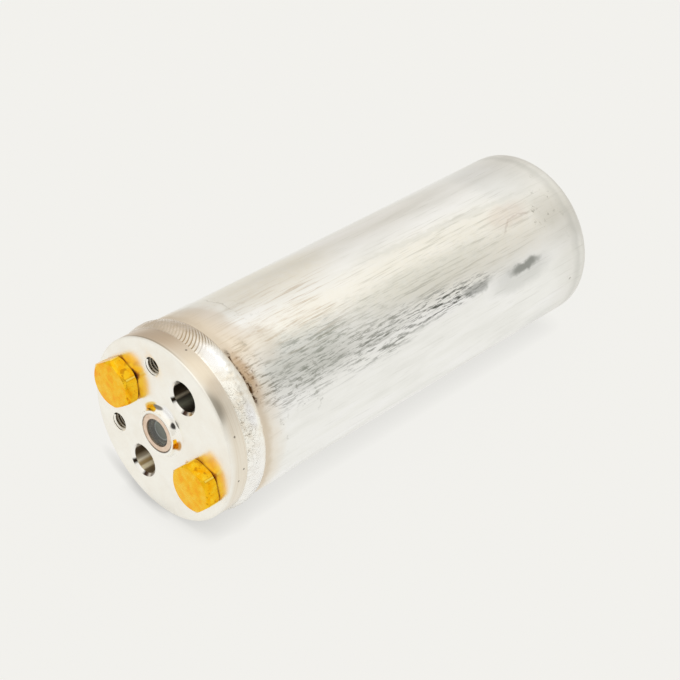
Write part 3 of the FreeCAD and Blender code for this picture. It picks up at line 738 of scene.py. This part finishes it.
def turnedAluminium():
    # turned and drilled bar: satin mirror on the face with faint rings, darker inside the holes
    material, tree = startMaterial("turnedAluminium")
    coords = addNode(tree, "TexCoord").outputs["Object"]
    height = addNode(tree, "SeparateXYZ", {"Vector": coords}).outputs["Z"]
    flat = addNode(tree, "Mapping", {"Vector": coords, "Scale": (1, 1, 0)})
    radial = addNode(tree, "VectorMath", {0: flat}, operation="LENGTH").outputs["Value"]
    cloud = addNode(tree, "TexNoise", {
        "Vector": coords, "Scale": 1 / (6 * mm), "Detail": 4.0, "Roughness": 0.6})
    colour = addNode(tree, "ValToRGB", {"Fac": cloud}, stops=[(0.35, "FBF7EE"), (0.65, "FFFDF6")])
    # holes: painted glints on the chamfers at the ports' mouths, painted shade and reflections on
    # the walls below them, painted shade in the clamp holes
    below = addNode(tree, "MapRange", {
        "Value": height, "From Min": faceZ - 0.04 * mm, "From Max": faceZ - 0.12 * mm})
    low = addNode(tree, "MapRange", {
        "Value": height, "From Min": faceZ - 0.7 * mm, "From Max": faceZ - 0.9 * mm})
    deep = addNode(tree, "MapRange", {
        "Value": height, "From Min": faceZ - 0.9 * mm, "From Max": faceZ - 1.1 * mm})
    metal = 1.0
    for portY, wallMetal, wallShadeStops in headerShape["portWallShading"]:
        centre = (0, portY * mm, 0)
        away = addNode(tree, "VectorMath", {
            0: flat, 1: centre}, operation="DISTANCE").outputs["Value"]
        near = addNode(tree, "Math", {
            0: away, 1: headerShape["portReach"] * mm}, operation="LESS_THAN")
        turned = addNode(tree, "Mapping", {
            "Vector": flat, "Location": centre,
            "Rotation": (0, 0, math.radians(180 + cameraSide))}, vector_type="TEXTURE")
        sweep = addNode(tree, "TexGradient", {"Vector": turned}, gradient_type="RADIAL")
        # painted shade and painted reflections round the port's wall
        wall = addNode(tree, "ValToRGB", {"Fac": sweep.outputs["Fac"]}, stops=wallShadeStops)
        # painted reflections on the mouth's chamfer
        mouth = addNode(tree, "ValToRGB", {
            "Fac": sweep.outputs["Fac"]}, stops=headerShape["mouthReflectionStops"])
        colour = tint(tree, colour, overlap(tree, near, below), mouth)
        inHole = overlap(tree, near, deep)
        colour = tint(tree, colour, inHole, wall)
        metal = addNode(tree, "Math", {
            0: inHole, 1: wallMetal - 1, 2: metal}, operation="MULTIPLY_ADD")
    clampX, clampY = headerShape["clampPlace"]
    for holeY in (-clampY, clampY):
        away = addNode(tree, "VectorMath", {
            0: flat, 1: (clampX * mm, holeY * mm, 0)}, operation="DISTANCE").outputs["Value"]
        inside = addNode(tree, "Math", {
            0: away, 1: headerShape["clampReach"] * mm}, operation="LESS_THAN")
        # painted shade: darker inside the clamp holes, below the chamfer
        colour = tint(tree, colour, overlap(tree, inside, low), "C9C0AE", 0.9)
    # side: warmer, with turning lines, smears and painted shade, a faint painted shade line at the
    # face's edge, pits
    side = addNode(tree, "MapRange", {
        "Value": height, "From Min": faceZ - 0.4 * mm, "From Max": faceZ - 2.5 * mm})
    outside = addNode(tree, "MapRange", {
        "Value": radial, "From Min": 29.5 * mm, "From Max": 29.8 * mm})
    rim = overlap(tree, side, outside)
    colour = tint(tree, colour, rim, "F0E5D3", 0.7)
    turning = addNode(tree, "TexNoise", {
        "Vector": addNode(tree, "Mapping", {"Vector": coords, "Scale": (0.02, 0.02, 1)}),
        "Scale": 1 / (0.55 * mm), "Detail": 2.0})
    turning = addNode(tree, "MapRange", {"Value": turning, "From Min": 0.52, "From Max": 0.72})
    colour = tint(tree, colour, overlap(tree, rim, turning), "CDBDA4", 0.35)
    wallHere = addNode(tree, "MapRange", {
        "Value": height, "From Min": faceZ - 0.35 * mm, "From Max": faceZ - 0.8 * mm})
    # the first spot is painted shade, the others smears
    colour = paintSpots(tree, colour, coords, vessel["headerRadius"], 0.7, headerShape["rimSmearsAndShade"],
                        wallHere, outside)
    # painted shade: a faint dark line along the face's edge
    edge = addNode(tree, "MapRange", {
        "Value": radial, "From Min": 29.2 * mm, "From Max": 29.7 * mm})
    colour = tint(tree, colour, edge, "A7A296", 0.068)
    colour = paintSpots(tree, colour, coords, vessel["headerRadius"], 0.5, headerShape["rimPits"])
    onCove = addNode(tree, "Math", {0: height, 1: faceZ - 0.3 * mm}, operation="GREATER_THAN")
    for angle, away, width, across, shade, strength in headerShape["coveMarks"]:
        turn = math.radians(angle + cameraSide)
        place = addNode(tree, "Mapping", {
            "Vector": flat, "Location": (away * mm * math.cos(turn), away * mm * math.sin(turn), 0),
            "Rotation": (0, 0, turn), "Scale": (across * mm / 2, width * mm / 2, mm)},
            vector_type="TEXTURE")
        ball = addNode(tree, "TexGradient", {"Vector": place}, gradient_type="SPHERICAL")
        mark = addNode(tree, "MapRange", {
            "Value": ball.outputs["Fac"], "From Max": 0.5}, interpolation_type="SMOOTHSTEP")
        colour = tint(tree, colour, overlap(tree, mark, onCove), shade, strength)
    # the boss is polished brighter, with dirt in the seam round the glass
    onBoss = addNode(tree, "MapRange", {
        "Value": height, "From Min": faceZ + 0.1 * mm, "From Max": faceZ + 0.5 * mm})
    sheen = addNode(tree, "MapRange", {"Value": onBoss, "To Min": 0.28, "To Max": 0.1})
    seam = addNode(tree, "MapRange", {
        "Value": radial, "From Min": (headerShape["seamRadius"] + 0.15) * mm,
        "From Max": headerShape["seamRadius"] * mm})
    patchy = addNode(tree, "MapRange", {
        "Value": cloud, "From Min": 0.42, "From Max": 0.58, "To Min": 0.2})
    colour = tint(tree, colour, overlap(tree, onBoss, seam, patchy), "5E5244", 0.8)
    # turning rings on the face, deeper in the cove
    onTop = addNode(tree, "MapRange", {
        "Value": height, "From Min": faceZ - 0.05 * mm, "From Max": faceZ - 0.02 * mm})
    rings = addNode(tree, "TexWave", {
        "Vector": flat, "Scale": 0.314 / (headerShape["ringPitch"] * mm), "Distortion": 0.0},
        wave_type="RINGS", rings_direction="SPHERICAL").outputs["Fac"]
    cove = addNode(tree, "MapRange", {
        "Value": radial, "From Min": (headerShape["coveRadius"] + 0.4) * mm,
        "From Max": headerShape["coveRadius"] * mm, "To Min": 1.0, "To Max": 7.0})
    ringBump = addNode(tree, "Bump", {
        "Strength": 0.10, "Distance": 0.01 * mm, "Height": overlap(tree, rings, onTop, cove)})
    endMaterial(tree, colour, metal, sheen, cloud, 0.35, 0.05, ringBump)
    return material


def makeThread(name, y, material):
    # one tooth's outline, screwed down the hole
    radius = headerShape["threadRadius"]
    pitch = headerShape["threadPitch"]
    tip = radius - headerShape["threadDepth"]
    start = vessel["face"] - headerShape["threadStart"]
    bpy.ops.object.select_all(action="DESELECT")
    bpy.ops.mesh.primitive_circle_add(vertices=4, radius=0.001, fill_type="NGON")
    thread = bpy.context.object
    thread.name = name
    outline = ((radius + 0.02, pitch * 0.44), (tip, pitch * 0.08), (tip, -pitch * 0.08),
               (radius + 0.02, -pitch * 0.44))
    for vertex, (r, z) in zip(thread.data.vertices, outline):
        vertex.co = (r * mm, 0, z * mm)
    screw = thread.modifiers.new("thread", "SCREW")
    screw.angle = 2 * math.pi
    screw.screw_offset = -pitch * mm
    screw.iterations = headerShape["threadTurns"]
    screw.steps = 40
    screw.render_steps = 40
    screw.use_merge_vertices = False
    applyModifiers(thread)
    thread.location = (headerShape["clampPlace"][0] * mm, y * mm, start * mm)
    settle(thread, 30)
    finishPiece(thread, material, "header_aluminium")


def makeHeader():
    header = mergedCopy("header", "headerTurned")
    softenEdges(header, headerShape["edgeRadius"], 2, 22)
    settle(header, 25)
    material = turnedAluminium()
    finishPiece(header, material, "header_aluminium", "header")
    makeThread("inletClampThread", -headerShape["clampPlace"][1], material)
    makeThread("outletClampThread", headerShape["clampPlace"][1], material)


makeHeader()
print("header made")

# Hex plugs
plugShape = {
    "edgeRadius": 0.25, "offset": 19.9,
    "cornerShadeLine": (7.95, 8.08),   # mm from the plug's axis: painted shade line beside each corner
    "cornerHighlight": (8.13, 8.2),    # and painted highlight on the corner
}


def yellowPassivatedZinc():
    # zinc plated steel, yellow passivated: golden, cloudy, with darker orange blotches, and painted
    # light and shade by which way each face turns
    material, tree = startMaterial("yellowPassivatedZinc")
    coords = addNode(tree, "TexCoord").outputs["Object"]
    cloud = addNode(tree, "TexNoise", {"Vector": coords, "Scale": 1 / (2.6 * mm), "Detail": 3.0,
                                       "Roughness": 0.55, "Distortion": 0.2})
    grain = addNode(tree, "TexNoise", {"Vector": coords, "Scale": 1 / (0.7 * mm), "Detail": 3.0})
    colour = addNode(tree, "ValToRGB", {
        "Fac": cloud}, stops=[(0.30, "FFAC16"), (0.5, "FFC222"), (0.72, "FFD246")])
    # sides and chamfers take their colour by which way they face, painted light and shade of the
    # same plating, with painted shade on the rounded edges and brown and pale blotches
    facing = addNode(tree, "SeparateXYZ", {
        "Vector": addNode(tree, "NewGeometry").outputs["Normal"]}).outputs["Z"]
    shadedFlats = addNode(tree, "ValToRGB", {"Fac": cloud}, stops=[(0.32, "FFB408"), (0.62, "FFCE28")])
    # painted shade: darker on the rounded edges, picked by which way the surface faces
    slopeShade = addNode(tree, "ValToRGB", {"Fac": facing}, stops=[
        (0.30, "000000"), (0.42, "B0B0B0"), (0.55, "303030"), (0.84, "000000"), (0.90, "C0C0C0"),
        (0.97, "404040")])
    shadedFlats = tint(tree, shadedFlats, slopeShade, "C27C0A")
    blotch = addNode(tree, "TexNoise", {
        "Vector": coords, "Scale": 1 / (1.9 * mm), "Detail": 2.0, "Distortion": 0.5})
    for first, last, shade, strength in ((0.58, 0.66, "B8680C", 0.6), (0.40, 0.34, "FFE850", 0.4)):
        patch = addNode(tree, "MapRange", {"Value": blotch, "From Min": first, "From Max": last})
        shadedFlats = tint(tree, shadedFlats, patch, shade, strength)
    onSide = addNode(tree, "MapRange", {
        "Value": facing, "From Min": 0.985, "From Max": 0.93, "To Max": 0.9})
    colour = tint(tree, colour, onSide, shadedFlats)
    # painted highlight: the corners of the hexagon pale, with a painted shade line beside
    across = addNode(tree, "VectorMath", {0: coords}, operation="ABSOLUTE")
    across = addNode(tree, "Mapping", {"Vector": across, "Scale": (1, 1, 0)})
    away = addNode(tree, "VectorMath", {
        0: across, 1: (plugShape["offset"] * mm, 0, 0)}, operation="DISTANCE").outputs["Value"]
    start, end = plugShape["cornerShadeLine"]
    corner = addNode(tree, "MapRange", {
        "Value": away, "From Min": start * mm, "From Max": end * mm, "To Max": 0.8})
    colour = tint(tree, colour, overlap(tree, corner, onSide), "C8820C", 0.6)
    start, end = plugShape["cornerHighlight"]
    corner = addNode(tree, "MapRange", {
        "Value": away, "From Min": start * mm, "From Max": end * mm})
    colour = tint(tree, colour, corner, "FFE66A", 0.75)
    # painted shade: brown in the crevice under the head and on faces turned down
    height = addNode(tree, "SeparateXYZ", {"Vector": coords}).outputs["Z"]
    low = addNode(tree, "MapRange", {
        "Value": height, "From Min": faceZ + 0.45 * mm, "From Max": faceZ + 0.15 * mm})
    under = addNode(tree, "MapRange", {"Value": facing, "From Min": -0.1, "From Max": -0.45})
    colour = tint(tree, colour, under, "D89A18", 0.8)
    colour = tint(tree, colour, low, "9A5A0C", 0.7)
    sheen = addNode(tree, "MapRange", {
        "Value": cloud, "From Min": 0.3, "From Max": 0.7, "To Min": 0.18, "To Max": 0.28})
    endMaterial(tree, colour, 1.0, sheen, grain, 0.15, 0.04)
    return material


def makePlugs():
    zinc = yellowPassivatedZinc()
    for node, name in (("switch_port_plug", "switchPlug"), ("service_port_plug", "servicePlug")):
        plug = mergedCopy(node, name)
        softenEdges(plug, plugShape["edgeRadius"], 3, 20)
        settle(plug, 35)
        finishPiece(plug, zinc, "plug_zinc", node)


makePlugs()
print("plugs made")

# Small and inner pieces keep their CAD shape and get their finish
glassShape = {
    "lowFace": 168.35, "radius": 4.6,
    # tones of the lower face from the middle outwards, with a painted highlight ring, and how much
    # of it is frosted
    "frostWithHighlight": ((0.0, "BCBDB4"), (0.58, "B4B6AC"), (0.63, "FFFFFF"), (0.71, "FFFFFF"),
              (0.75, "3A3C38")),
    "cover": ((0.0, "F0F0F0"), (0.72, "F0F0F0"), (0.76, "383838")),
}


def sightGlass():
    # thick pressed glass; its frosted lower face shows as a paler disc with a painted highlight as
    # its bright rim
    material, tree = startMaterial("greyGreenGlass")
    coords = addNode(tree, "TexCoord").outputs["Object"]
    height = addNode(tree, "SeparateXYZ", {"Vector": coords}).outputs["Z"]
    lowFace = addNode(tree, "Math", {
        0: height, 1: glassShape["lowFace"] * mm}, operation="LESS_THAN")
    flat = addNode(tree, "Mapping", {"Vector": coords, "Scale": (1, 1, 0)})
    radial = addNode(tree, "VectorMath", {0: flat}, operation="LENGTH").outputs["Value"]
    reach = addNode(tree, "MapRange", {"Value": radial, "From Max": glassShape["radius"] * mm})
    frostWithHighlight = addNode(tree, "ValToRGB", {"Fac": reach}, stops=glassShape["frostWithHighlight"])
    share = addNode(tree, "ValToRGB", {"Fac": reach}, stops=glassShape["cover"])
    clear = addNode(tree, "BsdfPrincipled", {"Base Color": toLinear("CDD8D2"), "Roughness": 0.02,
                                             "Transmission Weight": 1.0, "IOR": 1.52})
    frosted = addNode(tree, "BsdfPrincipled", {"Base Color": frostWithHighlight, "Roughness": 0.4})
    mix = addNode(tree, "MixShader", {0: overlap(tree, lowFace, share), 1: clear, 2: frosted})
    addNode(tree, "OutputMaterial", {"Surface": mix})
    return material


def grainyFinish(name, dark, light, metallic, roughness, grain, distance, strength=0.4):
    # even finish with one grain; the notes in finishes say what each gives the eye
    material, tree = startMaterial(name)
    coords = addNode(tree, "TexCoord").outputs["Object"]
    speck = addNode(tree, "TexNoise", {"Vector": coords, "Scale": 1 / (grain * mm), "Detail": 3.0})
    colour = addNode(tree, "ValToRGB", {"Fac": speck}, stops=[(0.35, dark), (0.65, light)])
    endMaterial(tree, colour, metallic, roughness, speck, strength, distance)
    return material


finishes = {
    # pressed steel ring with a thin copper wash: pinkish and satin
    "sight_ring_metal": grainyFinish("copperWashedSteel", "E3C9B2", "EED9C6", 1.0, 0.34, 1.2, 0.02,
                                     0.3),
    "sight_glass": sightGlass(),
    # moulded rubber: green-black and dull
    "seal_rubber": grainyFinish("nitrileRubber", "14201A", "223028", 0.0, 0.55, 0.5, 0.02),
    # pressed and punched steel: plain grey, with a soft shine
    "inner_steel": grainyFinish("pressedSteel", "ACAEB1", "C4C6C8", 1.0, 0.32, 0.8, 0.02),
    # drawn tube: pale and satin
    "tube_aluminium": grainyFinish("drawnTubeAluminium", "DBDBD8", "EAEAE7", 1.0, 0.3, 0.8, 0.02),
    # needled fibre: cream, fuzzy and without any shine
    "filter_felt": grainyFinish("needledFelt", "D8D4C4", "F0EDE2", 0.0, 0.95, 0.3, 0.2),
    # packed round beads: sandy and knobbly
    "desiccant_beads": grainyFinish("molecularSieveBeads", "B59F74", "E0CFA8", 0.0, 0.8, 1.6, 0.6),
}
for subpart in frame["record"]["subparts"]:
    if subpart["material_slot"] in finishes:
        cadObject = frame["nodes"][subpart["node"]]
        cadObject.data.materials.clear()
        cadObject.data.materials.append(finishes[subpart["material_slot"]])
print("inner pieces finished")
